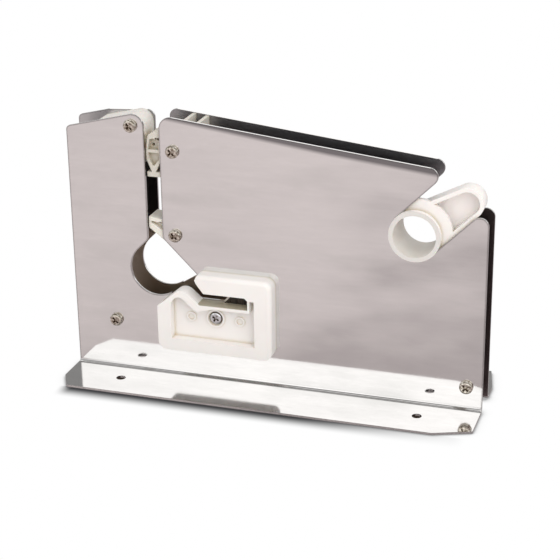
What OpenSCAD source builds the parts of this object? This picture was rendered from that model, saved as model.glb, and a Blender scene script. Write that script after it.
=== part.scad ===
// Bag neck sealer with a tail trimmer: two bent steel side plates hold a moulded
// mechanism, a tape holder in a slanted notch and a trimmer on the front face.
// Every module draws in millimetres, with X along the plates, Y through them and Z up.
// Positions along X are measured from the left edge of the plates.

/* [Side plates] */
// Length of the plates and their flanges
length = 220; // [205:1:240]
// Thickness of the steel sheet
sheet_t = 1.2; // [1:0.1:1.5]
// Clear width between the inner faces of the plates
gap = 14.6; // [14.2:0.1:18]
// Height of the right panel beside the slot, above the bench
plate_h = 142; // [139:0.1:146]
// Fall from that height to the top of the left edge
left_drop = 9.2; // [7:0.1:11]
// Rise of the left panel's top edge towards the slot, in degrees
left_slope = 13.7; // [8:0.1:16]
// Fall of the right panel's top edge away from the slot, in degrees
right_slope = 6.4; // [4:0.1:8]
// Height of the rear plate's left edge over the front plate's
rear_lift = 1.7; // [0:0.1:2.5]
// Distance from the left edge to the knee in the rear plate's top edge
rear_knee_x = 17.5; // [12:0.5:24]
// Rise of the rear plate's top edge from its knee to the slot, in degrees
rear_slope = 3.4; // [1:0.1:6]
// Width of each flange, from the plate's face to the flange's edge
flange_w = 31; // [24:0.5:36]
// Size along X of the cut at the front flange's left corner
left_cut_x = 5.7; // [3:0.1:10]
// Size along Y of that cut
left_cut_y = 11.2; // [6:0.1:16]
// Size along X of the cut at the front flange's right corner
right_cut_x = 19; // [8:0.5:24]
// Size along Y of that cut
right_cut_y = 7.3; // [4:0.1:12]
// Size along X of the cuts at both corners of the rear flange
rear_cut_x = 4; // [2:0.1:8]
// Size along Y of those cuts
rear_cut_y = 19.5; // [10:0.5:22]
// Inside radius of the bend between plate and flange
bend_r = 1.5; // [1:0.1:2.5]
// Distance of the bench bolt holes from the plate ends
bolt_inset = 30; // [15:1:50]
// Distance of the bench bolt holes from the plate's face
bolt_reach = 15; // [10:0.5:20]
// Diameter of the bench bolt holes
bolt_d = 5; // [3.5:0.1:6.5]

/* [Neck slot] */
// Centre of the slot that the bag neck goes down
slot_x = 46.8; // [44:0.1:52]
// Width of the slot
slot_w = 8.3; // [7.5:0.1:9]
// Corner radius at the top of the slot
slot_top_r = 6.2; // [3:0.1:8]
// The same corner radius on the rear plate
rear_top_r = 4; // [2:0.1:6]
// Corner radius where the slot opens out at its foot
slot_foot_r = 4; // [2:0.1:6]
// Radius of the round opening under the slot
opening_r = 14.3; // [12:0.1:15]
// Distance of the round opening's centre below the plates' top
opening_drop = 83.1; // [81:0.1:85]
// Distance of the slanted right edge from the round opening's centre
mouth_reach = 15.4; // [14:0.1:17]
// Height of the plate's slot behind the trimmer
trim_slot_h = 6.2; // [5.4:0.1:7]

/* [Tape notch] */
// Distance of the notch's round end from the right edge
notch_inset = 36; // [32:0.5:40]
// Distance of that round end's centre below the plates' top
notch_drop = 50.4; // [46:0.1:55]
// Half of the notch's width
notch_r = 12.7; // [11:0.1:14]
// Radius of the outer corners beside the notch
notch_corner_r = 4.5; // [2:0.1:5.5]
// Radius of the top left corner
left_corner_r = 2.5; // [1:0.1:5]

/* [Screws] */
// Thread diameter of the plate screws
screw_d = 3.5; // [3:0.1:4]
// Diameter of the pan heads
head_d = 7; // [6:0.1:8]
// Height of the pan heads
head_h = 2.3; // [1.8:0.1:3]
// Width across the flats of the nuts
nut_af = 6; // [5.5:0.1:7.5]
// Thickness of the nuts
nut_h = 2.6; // [2:0.1:3.2]
// Outer diameter of the spacers that hold the plates apart
spacer_d = 8; // [6.5:0.1:10]
// Height of the lower left spacer
left_spacer_z = 28; // [20:0.5:36]
// Distance of the lower left spacer from the left edge
left_spacer_x = 22.8; // [14:0.1:28]
// Height of the lower right spacer
right_spacer_z = 13.3; // [11:0.1:24]
// Distance of the lower right spacer from the right edge
right_spacer_inset = 8.3; // [7:0.1:14]

/* [Left guide block] */
// Left end of the block
left_block_x = 16.4; // [14:0.1:24]
// Height of the block at the plates' left edge
left_block_h = 19.8; // [16:0.1:24]
// Distance of its screw from the slot's left edge
left_screw_inset = 7; // [5.5:0.1:9]
// Distance of its screw below the top edge there
left_screw_drop = 5.9; // [5:0.1:8]
// Wall thickness of the moulded blocks
block_wall = 2; // [1.5:0.1:2.5]
// Diameter of the locating peg that enters the rear plate
peg_d = 4; // [3:0.1:5]

/* [Gates] */
// Distance of both gate pivots from the slot's right edge
pivot_inset = 7; // [6.5:0.1:8]
// Distance of the upper gate's pivot below the plates' top
upper_drop = 18.3; // [17:0.1:20]
// Height of the lower gate's pivot above the round opening's centre
lower_rise = 19.9; // [19:0.1:21]
// Outer diameter of the sleeves that the gates turn on
sleeve_d = 6; // [5.5:0.1:6.5]
// Radius of the gates' hubs
gate_hub_r = 6; // [5.6:0.1:6.4]
// Height of the upper gate's peak above its pivot
gate_peak = 11; // [10:0.1:12]
// Depth of the upper gate's foot below its pivot
gate_foot = 14.8; // [14:0.1:16]
// Thickness of the bars that the gates are moulded from
gate_bar = 2.6; // [2.2:0.1:3]
// Height of the lower gate's tip above its pivot
gate_tip = 8.6; // [8:0.1:9.2]
// Clearance between a gate and what stands beside it
play = 0.3; // [0.25:0.05:0.4]
// Radial running clearance of bores on their shafts
run_fit = 0.05; // [0.03:0.01:0.08]

/* [Gate springs] */
// Diameter of the spring wire
wire_d = 0.7; // [0.5:0.05:0.8]
// Mean radius of the spring's curls
spring_r = 5.3; // [5.1:0.05:5.5]
// Rise of the wire in each curl
spring_pitch = 1.15; // [1.1:0.05:1.2]
// Number of curls
spring_turns = 3; // [2:1:3]
// Length of each straight leg
spring_leg = 9; // [7:0.5:10]

/* [Cutter and guide roller] */
// Thickness of the tape cutter blade
cutter_t = 0.6; // [0.4:0.1:1]
// Width of the cutter blade through the gap
cutter_w = 10.5; // [9:0.5:11]
// Length of the cutter blade
cutter_l = 12; // [10:0.5:14]
// Distance of the cutter blade below the upper pivot
cutter_drop = 26.1; // [25:0.1:27.5]
// Number of teeth on the cutter blade
cutter_teeth = 8; // [5:1:12]
// Radius of the tape guide roller
roller_r = 4.5; // [3.5:0.1:5.5]
// Distance of the roller from the upper pivot
roller_dx = 28; // [27:0.5:32]
// Distance of the roller's axis below the upper pivot
roller_drop = 10.2; // [7:0.1:13]
// Diameter of the roller's pin
roller_pin_d = 3; // [2.5:0.1:3.5]

/* [Tape holder] */
// Outer radius of the tube that carries the tape roll
tube_r = 12.4; // [11:0.1:12.5]
// Wall thickness of the tube
tube_wall = 1.6; // [1.2:0.1:2]
// Length that the tube stands out past each plate
tube_out = 3; // [2:0.1:5]
// Radius of the lip on the tube's front end
lip_r = 13.1; // [13:0.1:14]
// Radius of the collar behind the front plate
collar_r = 18.3; // [16:0.1:20]
// Thickness of the collar
collar_t = 2.4; // [1.6:0.1:3]
// Radius of the arm's round end
arm_tip_r = 8; // [7:0.1:10]
// Distance from the tube's axis to the arm's round end
arm_l = 30.6; // [28:0.1:36]
// Angle of the arm above the horizontal, in degrees
arm_angle = 35.5; // [32:0.1:40]
// Thickness of the arm through the gap
arm_t = 9.4; // [7:0.1:11]
// Wall thickness of the arm's tray
arm_wall = 2; // [1.5:0.1:2.5]

/* [Trimmer] */
// Width of the trimmer body
trimmer_w = 62.2; // [60:0.1:68]
// Height of the trimmer body
trimmer_h = 43.3; // [41:0.1:48]
// Thickness of the trimmer body
trimmer_t = 8; // [6.5:0.1:9.5]
// Rounding of the body's top and right front edges
trimmer_bevel = 2.4; // [1:0.1:3]
// Corner radius of the body
trimmer_corner_r = 4.5; // [3.5:0.1:5.5]
// Depth of the recess in the body's front
recess_depth = 5; // [3.5:0.1:5.5]
// Width of the rim round the recess at its right side
rim_w = 9.2; // [8:0.1:11]
// Width of the rim under the recess
rim_low_w = 6.7; // [5:0.1:8]
// Height of the cutting slot in the body
cut_slot_h = 6.6; // [6:0.1:7.4]
// Thickness of the trimmer blade
blade_t = 0.6; // [0.4:0.05:0.8]
// Lean of the blade's edge from the horizontal, in degrees
blade_lean = 47; // [40:1:60]
// Distance between the screw and each round mark beside it
mark_pitch = 13.3; // [12:0.1:15]

/* [Hidden] */
$fn = 64;

steel = [0.80, 0.77, 0.75];
ivory = [0.93, 0.92, 0.88];
dark_steel = [0.45, 0.45, 0.46];
screw_steel = [0.70, 0.68, 0.62];
eps = 0.01;
// Arcs and the straight edges that run into them overlap by this much, so that they meet cleanly.
meet = 0.003;

half_gap = gap / 2;
face_y = half_gap + sheet_t;
slot_l = slot_x - slot_w / 2;
slot_r = slot_x + slot_w / 2;
screw_hole_d = screw_d + 0.3;
left_h = plate_h - left_drop;
opening_z = plate_h - opening_drop;
upper_z = plate_h - upper_drop;
lower_z = opening_z + lower_rise;
cutter_z = upper_z - cutter_drop;
roller_z = upper_z - roller_drop;
left_block_z = left_h - left_block_h;
notch_c = [length - notch_inset, plate_h - notch_drop];
bend_z = sheet_t + bend_r;
diag = sqrt(2);

function dir(a) = [cos(a), sin(a)];
function unit(v) = v / norm(v);
function left_top(x) = left_h + tan(left_slope) * x;
function right_top(x) = plate_h - tan(right_slope) * (x - slot_r);
rear_left_h = left_h + rear_lift;
rear_knee = [rear_knee_x, rear_left_h + tan(left_slope) * rear_knee_x];
function rear_top(x) = rear_knee[1] + tan(rear_slope) * (x - rear_knee_x);

// The opening's slanted edges run at 45 degrees, down to both sides of the slot.
opening_x = slot_x;
left_edge_drop = opening_z - opening_x + opening_r * diag;
right_edge_sum = opening_x + opening_z + mouth_reach * diag;
flare_l = [slot_l, slot_l + left_edge_drop];
flare_r = [slot_r, right_edge_sum - slot_r];
trim_slot_z = opening_z - 10.35;
trim_slot_end = opening_x + 50.7;

upper_pivot = [slot_r + pivot_inset, upper_z];
lower_pivot = [slot_r + pivot_inset, lower_z];
reach = slot_w + pivot_inset - play;
left_screw = [slot_l - left_screw_inset, left_top(slot_l - left_screw_inset) - left_screw_drop];
left_spacer_at = [left_spacer_x, left_spacer_z];
right_spacer_at = [length - right_spacer_inset, right_spacer_z];
plate_screws_at = [left_screw, upper_pivot, lower_pivot, left_spacer_at, right_spacer_at];
left_peg = [left_block_x + 6, left_h - 2];

// A spring's curl has this many stations, and its wire this many sides.
rings_per_turn = 8;
tube_sides = 6;

// The gates fill the front of the gap; the right block's cheek stands behind them.
cheek_t = 2.3;
gate_front = -half_gap + play;
gate_back = half_gap - cheek_t - play;
spring_zone = wire_d + spring_pitch * spring_turns + 2 * play;
spring_y0 = gate_front + play + wire_d / 2;
boss_r = spring_r * cos(180 / rings_per_turn) - wire_d / 2 - play;
seat_r = max(spring_r + wire_d / 2 + play, gate_hub_r + 0.1);

// Places the plates' frame so that the origin is under the middle of the sealer.
module in_frame() {
    translate([-length / 2, 0, 0]) children();
}

// Thickens a drawing in X and Z into a slab from y0 to y1.
module slab(y0, y1) {
    translate([0, y1, 0]) rotate([90, 0, 0]) linear_extrude(y1 - y0) children();
}

// A round bar along Y at point p, from y0 to y1.
module bar(p, r, y0, y1) {
    translate([p[0], y1, p[1]]) rotate([90, 0, 0]) cylinder(h = y1 - y0, r = r);
}

// What a fillet of radius r takes off corner p, whose edges leave it at angles a and b.
module corner_waste(p, a, b, r) {
    u = dir(a);
    v = dir(b);
    half = acos(u * v) / 2;
    c = p + unit(u + v) * r / sin(half);
    t1 = p + u * r / tan(half);
    t2 = p + v * r / tan(half);
    difference() {
        polygon([c, t1 + (t1 - c) * 0.3, p + (p - c) * 0.3, t2 + (t2 - c) * 0.3]);
        translate(c) circle(r + meet);
    }
}

// Two circles joined by their outer tangents.
module link(c1, r1, c2, r2) {
    d = c2 - c1;
    a = atan2(d[1], d[0]);
    t = acos((r1 - r2) / norm(d));
    translate(c1) circle(r1 + meet);
    translate(c2) circle(r2 + meet);
    polygon([c1 + r1 * dir(a + t), c2 + r2 * dir(a + t), c2 + r2 * dir(a - t), c1 + r1 * dir(a - t)]);
}

// ---- side plates ----

module opening_outline() {
    zt = trim_slot_z + trim_slot_h / 2 - meet;
    zb = trim_slot_z - trim_slot_h / 2 + meet;
    xe = trim_slot_end - trim_slot_h / 2;
    tangent = (opening_r - meet) / diag;
    translate([slot_l, opening_z]) square([slot_w, plate_h]);
    translate([opening_x, opening_z]) circle(opening_r);
    translate([xe, trim_slot_z]) circle(trim_slot_h / 2);
    polygon([flare_l, [opening_x - tangent, opening_z + tangent], [opening_x, opening_z],
             [opening_x + 8, opening_z], [opening_x + 8, zb], [xe, zb], [xe, zt],
             [right_edge_sum - zt, zt], flare_r]);
}

notch_side = notch_r - meet;

module notch_outline() {
    translate(notch_c) circle(notch_r);
    translate(notch_c) rotate(45) translate([0, -notch_side]) square([length, 2 * notch_side]);
}

// The corner where the top edge meets the notch, and the one beside the right edge.
notch_rise = notch_c[1] - notch_c[0] + notch_side * diag;
notch_upper_x = (plate_h + tan(right_slope) * slot_r - notch_rise) / (1 + tan(right_slope));
notch_upper = [notch_upper_x, notch_upper_x + notch_rise];
notch_lower = [length, length + notch_c[1] - notch_c[0] - notch_side * diag];

// The whole outline but for the left panel's top, which differs between the plates.
module plate_outline(left_edge, slope, top_r) {
    difference() {
        polygon(concat([[0, bend_z]], left_edge, [[slot_x, right_top(slot_x)],
                 [length, right_top(length)], [length, bend_z]]));
        opening_outline();
        notch_outline();
        corner_waste(left_edge[0], -90, left_slope, left_corner_r);
        corner_waste([slot_l, left_edge[len(left_edge) - 1][1] - tan(slope) * slot_w / 2], 180 + slope, -90, top_r);
        corner_waste([slot_r, plate_h], -90, -right_slope, top_r);
        corner_waste(notch_upper, 180 - right_slope, 225, notch_corner_r);
        corner_waste(notch_lower, 225, -90, notch_corner_r);
        corner_waste(flare_l, 90, 225, slot_foot_r);
        corner_waste(flare_r, 90, -45, slot_foot_r);
    }
}

// A flange with both outer corners cut off at a slant, by the given sizes in X and Y.
module flange(left_cut, right_cut) {
    edge = -face_y - flange_w;
    inner = -face_y - bend_r;
    difference() {
        linear_extrude(sheet_t)
            polygon([[0, inner], [0, edge + left_cut[1]], [left_cut[0], edge], [length - right_cut[0], edge],
                     [length, edge + right_cut[1]], [length, inner]]);
        for (x = [bolt_inset, length - bolt_inset])
            translate([x, -face_y - bolt_reach, -1]) cylinder(h = sheet_t + 2, d = bolt_d);
    }
}

module bend() {
    translate([0, -face_y - bend_r, bend_z]) rotate([90, 0, 90]) linear_extrude(length)
        difference() {
            circle(bend_r + sheet_t);
            circle(bend_r);
            translate([-bend_z - 1, -bend_z - 1]) square([bend_z + 1, 2 * bend_z + 2]);
            translate([-1, 0]) square([bend_z + 2, bend_z + 1]);
        }
}

module front_outline() {
    plate_outline([[0, left_h], [slot_x, left_top(slot_x)]], left_slope, slot_top_r);
}

module rear_outline() {
    plate_outline([[0, rear_left_h], rear_knee, [slot_x, rear_top(slot_x)]], rear_slope, rear_top_r);
}

// A plate with its flange, drawn as the front one; the rear one is mirrored.
module side_plate(left_cut, right_cut) {
    difference() {
        slab(-face_y, -half_gap) children();
        for (p = plate_screws_at) bar(p, screw_hole_d / 2, -face_y - 1, -half_gap + 1);
    }
    bend();
    flange(left_cut, right_cut);
}

module front_plate() color(steel) in_frame() {
    difference() {
        side_plate([left_cut_x, left_cut_y], [right_cut_x, right_cut_y]) front_outline();
        bar(trimmer_screw_at, screw_hole_d / 2, -face_y - 1, -half_gap + 1);
    }
}

module rear_plate() color(steel) in_frame() {
    difference() {
        mirror([0, 1, 0])
            side_plate([rear_cut_x, rear_cut_y], [rear_cut_x, rear_cut_y]) rear_outline();
        bar(left_peg, peg_d / 2 + run_fit, half_gap - 1, face_y + 1);
    }
}

// ---- fasteners ----

// A pan head on the plane y = 0 that faces -Y, with its cross recess.
module pan_head(d, h) {
    cap_r = h * 0.6;
    recess_l = d * 0.56;
    recess_w = d * 0.15;
    difference() {
        rotate([90, 0, 0]) rotate_extrude() {
            square([d / 2, h - cap_r]);
            square([d / 2 - cap_r, h]);
            translate([d / 2 - cap_r, h - cap_r]) intersection() {
                circle(cap_r);
                square(cap_r);
            }
        }
        for (a = [0, 90]) rotate([0, a, 0])
            translate([-recess_l / 2, -h - eps, -recess_w / 2]) cube([recess_l, h * 0.6, recess_w]);
    }
}

module plate_screws() color(screw_steel) in_frame() {
    for (p = plate_screws_at) {
        translate([p[0], -face_y, p[1]]) rotate([0, 45, 0]) pan_head(head_d, head_h);
        bar(p, screw_d / 2, -face_y, face_y + nut_h + 0.8);
    }
}

module hex_nut(p, y) {
    difference() {
        translate([p[0], y + nut_h, p[1]]) rotate([90, 0, 0])
            cylinder(h = nut_h, d = nut_af / cos(30), $fn = 6);
        bar(p, screw_d / 2 + run_fit, y - 1, y + nut_h + 1);
    }
}

module plate_nuts() color(screw_steel) in_frame() {
    for (p = plate_screws_at) hex_nut(p, face_y);
}

module tube_along_y(p, r, bore_r, y0, y1) {
    difference() {
        bar(p, r, y0, y1);
        bar(p, bore_r, y0 - 1, y1 + 1);
    }
}

module left_spacer() color(steel) in_frame()
    tube_along_y(left_spacer_at, spacer_d / 2, screw_hole_d / 2, -half_gap, half_gap);

module right_spacer() color(steel) in_frame()
    tube_along_y(right_spacer_at, spacer_d / 2, screw_hole_d / 2, -half_gap, half_gap);

// ---- left guide block ----

block_face_x = slot_l - 0.5;
block_top_gap = 0.8;

module left_block_outline(inset) {
    top_l = [left_block_x + inset, left_top(left_block_x + inset) - block_top_gap - inset];
    top_r = [block_face_x - inset, left_top(block_face_x - inset) - block_top_gap - inset];
    low_l = [left_block_x + inset, left_h - left_block_h * 0.4];
    low_r = [block_face_x - inset, left_h - left_block_h * 0.75];
    foot = [block_face_x - 2 * block_wall - inset / 2, left_block_z + inset];
    difference() {
        polygon([low_l, top_l, top_r, low_r, foot, [foot[0] - 3 * block_wall, foot[1]]]);
        corner_waste(top_r, 180 + left_slope, -90, slot_top_r - inset);
    }
}

module left_guide_block() color(ivory) in_frame() {
    web_y = 1;
    difference() {
        union() {
            difference() {
                slab(-half_gap, half_gap) left_block_outline(0);
                slab(-half_gap - 1, -web_y) left_block_outline(block_wall);
                slab(web_y, half_gap + 1) left_block_outline(block_wall);
            }
            bar(left_screw, screw_d / 2 + block_wall, -half_gap, half_gap);
            bar(left_peg, peg_d / 2 + block_wall / 2, 0, half_gap);
            bar(left_peg, peg_d / 2, 0, face_y);
            slab(-half_gap, half_gap) intersection() {
                left_block_outline(0);
                union() {
                    translate([left_screw[0] - 3 * block_wall, left_block_z])
                        square([block_wall, 2 * left_block_h]);
                    translate([left_block_x, left_h - left_block_h * 0.35]) square([slot_l, block_wall]);
                }
            }
        }
        bar(left_screw, screw_hole_d / 2, -half_gap - 1, half_gap + 1);
    }
}

// ---- gates ----

// The middle of the slot, seen from a gate's pivot, and the top of the upper gate's foot.
gate_mid = -pivot_inset - slot_w / 2;
foot_z = -gate_foot + gate_bar;

// Ribs run down to the middle of the foot from both sides of the slot.
module upper_gate_paddle() {
    rib = gate_bar * 0.4;
    shoulder_z = foot_z / 2;
    translate(upper_pivot) {
        circle(gate_hub_r);
        polygon([[-reach + gate_bar * 0.3, -foot_z * 0.45], [-reach + gate_bar * 0.6, gate_peak * 0.68],
                 [-pivot_inset + play, gate_peak], [0, gate_hub_r], [0, -gate_hub_r],
                 [gate_mid + slot_w / 2, shoulder_z], [gate_mid + rib, foot_z - eps],
                 [gate_mid - rib, foot_z - eps], [-reach + play, shoulder_z], [-reach, foot_z * 0.15]]);
        translate([-reach + play, -gate_foot]) square([slot_w - 2 * play, gate_bar]);
    }
}

// Two shallow pockets, one above the other, with a wall of the gate between them.
module upper_gate_pockets() {
    left = -reach + gate_bar * 0.45;
    right = gate_mid + slot_w * 0.36;
    wall_top = -gate_bar * 0.15;
    wall_low = -gate_bar * 0.75;
    translate(upper_pivot) {
        polygon([[left, wall_top], [right, wall_top], [right, gate_peak * 0.38],
                 [gate_mid, gate_peak * 0.5], [left + gate_bar * 0.3, gate_peak * 0.44]]);
        polygon([[left, wall_low], [right, wall_low], [right + gate_bar * 0.1, foot_z * 0.42],
                 [gate_mid + gate_bar * 0.2, foot_z * 0.72], [gate_mid - gate_bar * 0.2, foot_z * 0.72],
                 [left + gate_bar * 0.1, foot_z * 0.42]]);
    }
}

// Room for the spring round a gate's hub, and the boss that the spring sits on.
module spring_seat(p) {
    difference() {
        children();
        tube_along_y(p, seat_r, boss_r, gate_front - 1, gate_front + spring_zone);
        translate([p[0] - spring_leg - 1, gate_front - 1, p[1] + spring_r - wire_d / 2 - play])
            cube([spring_leg + 1, spring_zone + 1, wire_d + 2 * play]);
    }
}

// The tail rests on a stop of the right block, so it sets how far the gate closes.
tail_l = 8.6;
stop_x = 7.4;
stop_drop = 2.4;

module gate_tail(p) {
    slab(gate_front + spring_zone, gate_back) translate(p)
        polygon([[0, 3], [tail_l, 0], [tail_l, -stop_drop], [stop_x - 1, -stop_drop], [0, -gate_hub_r + 1]]);
}

module upper_gate() color(ivory) in_frame() {
    difference() {
        union() {
            spring_seat(upper_pivot) difference() {
                slab(gate_front, gate_back) upper_gate_paddle();
                slab(gate_front - 1, gate_front + gate_bar) upper_gate_pockets();
                slab(gate_back - gate_bar, gate_back + 1) upper_gate_pockets();
            }
            gate_tail(upper_pivot);
        }
        bar(upper_pivot, sleeve_d / 2 + run_fit, gate_front - 1, gate_back + 1);
        bar(upper_pivot + [gate_mid - 0.6, gate_peak * 0.16], 0.9, gate_front - 1, gate_back + 1);
    }
}

// The finger leans up from its hub to a tip at the far side of the slot.
module lower_gate_finger() {
    hub = gate_hub_r;
    translate(lower_pivot) {
        circle(hub);
        polygon([[-reach, gate_tip - play], [-reach + play, gate_tip], [0, hub], [0, -hub],
                 [-hub * 0.72, -hub * 0.95], [-reach, gate_tip * 0.28]]);
    }
}

module lower_gate_pocket() {
    translate(lower_pivot)
        polygon([[-reach + gate_bar * 0.5, gate_tip * 0.72], [-gate_hub_r - 0.6, gate_tip * 0.58],
                 [-gate_hub_r - 0.6, gate_tip * 0.1], [-reach + gate_bar * 0.5, gate_tip * 0.6]]);
}

module lower_gate() color(ivory) in_frame() {
    difference() {
        union() {
            spring_seat(lower_pivot) difference() {
                slab(gate_front, gate_back) lower_gate_finger();
                slab(gate_front - 1, gate_front + gate_bar) lower_gate_pocket();
            }
            gate_tail(lower_pivot);
        }
        bar(lower_pivot, sleeve_d / 2 + run_fit, gate_front - 1, gate_back + 1);
    }
}

module gate_sleeve(p) tube_along_y(p, sleeve_d / 2, screw_hole_d / 2, -half_gap, half_gap);

module upper_gate_sleeve() color(dark_steel) in_frame() gate_sleeve(upper_pivot);

module lower_gate_sleeve() color(dark_steel) in_frame() gate_sleeve(lower_pivot);

// ---- springs ----

// Stations along a torsion spring round point p: its place, and which way is outwards.
function spring_path(p) =
    let (n = rings_per_turn * spring_turns)
    concat([[[p[0] + spring_leg, spring_y0, p[1] + spring_r], [0, 0, 1]]],
           [for (i = [0:n]) let (a = 90 + 360 * i / rings_per_turn)
               [[p[0] + spring_r * cos(a), spring_y0 + spring_pitch * i / rings_per_turn, p[1] + spring_r * sin(a)],
                [cos(a), 0, sin(a)]]],
           [[[p[0] - spring_leg, spring_y0 + spring_pitch * spring_turns, p[1] + spring_r], [0, 0, 1]]]);

module wire(path) {
    n = len(path);
    s = tube_sides;
    points = [for (q = path) for (k = [0:s - 1])
        q[0] + wire_d / 2 * (cos(360 * k / s) * q[1] + sin(360 * k / s) * [0, 1, 0])];
    sides = [for (i = [0:n - 2]) for (k = [0:s - 1]) for (f = [0, 1])
        f == 0 ? [i * s + k, (i + 1) * s + k, (i + 1) * s + (k + 1) % s]
               : [i * s + k, (i + 1) * s + (k + 1) % s, i * s + (k + 1) % s]];
    caps = [for (k = [1:s - 2]) for (f = [0, 1])
        f == 0 ? [0, k, k + 1] : [(n - 1) * s, (n - 1) * s + k + 1, (n - 1) * s + k]];
    polyhedron(points = points, faces = concat(sides, caps));
}

// The least gap between neighbouring curls, measured from station to station.
function curl_gap(path) =
    min([for (i = [1:len(path) - 2 - rings_per_turn]) norm(path[i][0] - path[i + rings_per_turn][0])]) - wire_d;

echo(least_gap_between_curls = curl_gap(spring_path(upper_pivot)));

module upper_gate_spring() color(dark_steel) in_frame() wire(spring_path(upper_pivot));

module lower_gate_spring() color(dark_steel) in_frame() wire(spring_path(lower_pivot));

// ---- right guide block ----

roller_at = upper_pivot + [roller_dx, roller_z - upper_z];
cheek_l = slot_r + 1;
wall_r = slot_r + 25;
cheek_top = upper_z + gate_hub_r + 3.5;
cheek_r = roller_at[0] + roller_r + 3;
web_h = 6;

module cheek_outline() {
    low_z = lower_z - gate_hub_r - block_wall;
    polygon([[cheek_l, right_edge_sum + 3 - cheek_l], [cheek_l, cheek_top - 4],
             [cheek_l + 4, cheek_top], [wall_r, cheek_top], [wall_r, roller_z + 10], [cheek_r, roller_z + 6], [cheek_r, roller_z - 6],
             [wall_r, cutter_z - web_h - 2], [wall_r - 4, low_z], [right_edge_sum + 3 - low_z, low_z]]);
}

// Two ribs stand on the cheek and cross the gap just under the plates' top edges.
rib_first_dx = 12.6;
rib_pitch = 7;

module ribs_outline() {
    for (x = [slot_r + rib_first_dx, slot_r + rib_first_dx + rib_pitch])
        translate([x, cheek_top - 1]) square([block_wall, right_top(x + block_wall) - play - cheek_top + 1]);
}

module gate_stop(p) {
    slab(gate_front + spring_zone + play, half_gap) translate(p)
        polygon([[stop_x, -stop_drop - play], [stop_x + 1.5, -stop_drop - play], [stop_x + 2, -6], [stop_x, -6]]);
    bar(p + [7.8, spring_r + wire_d / 2 + play + 1], 1, gate_front + play, half_gap);
}

module right_guide_block() color(ivory) in_frame() {
    difference() {
        union() {
            slab(half_gap - cheek_t, half_gap) cheek_outline();
            slab(-half_gap, half_gap) ribs_outline();
            slab(-half_gap, half_gap)
                translate([slot_r + 4.4, cutter_z - web_h]) square([cutter_l - 2, web_h]);
            gate_stop(upper_pivot);
            gate_stop(lower_pivot);
            bar(roller_at, roller_pin_d / 2 + 1.6, half_gap - cheek_t - 0.8, half_gap);
        }
        for (p = [upper_pivot, lower_pivot])
            bar(p, sleeve_d / 2 + run_fit, half_gap - cheek_t - 1, half_gap + 1);
        bar(roller_at, roller_pin_d / 2, half_gap - cheek_t - 2, half_gap + 1);
        for (y = cutter_screw_ys) translate([cutter_screw_x, y, cutter_z - web_h - 1])
            cylinder(h = web_h + 2, d = cutter_screw_d);
    }
}

// ---- tape cutter ----

cutter_edge_x = slot_r + 0.6;
cutter_screw_x = cutter_edge_x + cutter_l - 4;
cutter_screw_d = 2;
cutter_y1 = half_gap - cheek_t - play;
cutter_y0 = cutter_y1 - cutter_w;
cutter_screw_ys = [cutter_y0 + cutter_w / 4, cutter_y1 - cutter_w / 4];
clamp_t = 1.2;

module cutter_blade() color(dark_steel) in_frame() {
    tooth = cutter_w / cutter_teeth;
    translate([0, 0, cutter_z]) difference() {
        linear_extrude(cutter_t) polygon(concat(
            [[cutter_edge_x + cutter_l, cutter_y0]],
            [[cutter_edge_x + cutter_l, cutter_y1]],
            [for (i = [0:cutter_teeth - 1]) for (k = [0, 1])
                [cutter_edge_x + (k == 0 ? tooth : 0), cutter_y1 - tooth * (i + k / 2)]],
            [[cutter_edge_x + tooth, cutter_y0]]));
        for (y = cutter_screw_ys) translate([cutter_screw_x, y, -1])
            cylinder(h = cutter_t + 2, d = cutter_screw_d + 0.2);
    }
}

module cutter_clamp() color(steel) in_frame() {
    translate([cutter_screw_x - 3, cutter_y0, cutter_z + cutter_t]) difference() {
        cube([6, cutter_w, clamp_t]);
        for (y = cutter_screw_ys) translate([3, y - cutter_y0, -1])
            cylinder(h = clamp_t + 2, d = cutter_screw_d + 0.2);
    }
}

module cutter_screws() color(screw_steel) in_frame() {
    for (y = cutter_screw_ys) translate([cutter_screw_x, y, cutter_z - 5]) {
        cylinder(h = 5 + cutter_t + clamp_t, d = cutter_screw_d - 2 * run_fit);
        translate([0, 0, 5 + cutter_t + clamp_t]) difference() {
            cylinder(h = 1.4, d = 4);
            translate([-2, -0.3, 0.8]) cube([4, 0.6, 1]);
        }
    }
}

// ---- guide roller ----

roller_y0 = gate_front + 0.4;
roller_y1 = half_gap - cheek_t - 0.8 - play;

module guide_roller() color(ivory) in_frame() {
    difference() {
        union() {
            bar(roller_at, roller_r, roller_y0, roller_y1);
            bar(roller_at, roller_r + 1, roller_y0, roller_y0 + 1);
            bar(roller_at, roller_r + 1, roller_y1 - 1, roller_y1);
        }
        bar(roller_at, roller_pin_d / 2 + run_fit, roller_y0 - 1, roller_y1 + 1);
    }
}

module roller_pin() color(dark_steel) in_frame()
    bar(roller_at, roller_pin_d / 2, -half_gap, half_gap);

// ---- tape holder ----

arm_c = notch_c + arm_l * dir(arm_angle);
arm_front = -half_gap + play;
collar_back = arm_front + collar_t;

module tape_holder() color(ivory) in_frame() {
    tube_front = -face_y - tube_out;
    tube_back = face_y + tube_out;
    difference() {
        union() {
            bar(notch_c, tube_r, tube_front, tube_back);
            bar(notch_c, lip_r, tube_front, -face_y - play);
            bar(notch_c, collar_r, arm_front, collar_back);
            difference() {
                slab(arm_front, arm_front + arm_t) link(notch_c, tube_r + play / 2, arm_c, arm_tip_r);
                slab(arm_front - 1, arm_front + arm_t - arm_wall) difference() {
                    link(notch_c, tube_r + play / 2 - arm_wall, arm_c, arm_tip_r - arm_wall);
                    translate(notch_c) circle(tube_r - tube_wall / 2);
                }
            }
        }
        bar(notch_c, tube_r - tube_wall, tube_front - 1, tube_back + 1);
    }
}

// ---- trimmer ----

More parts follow.
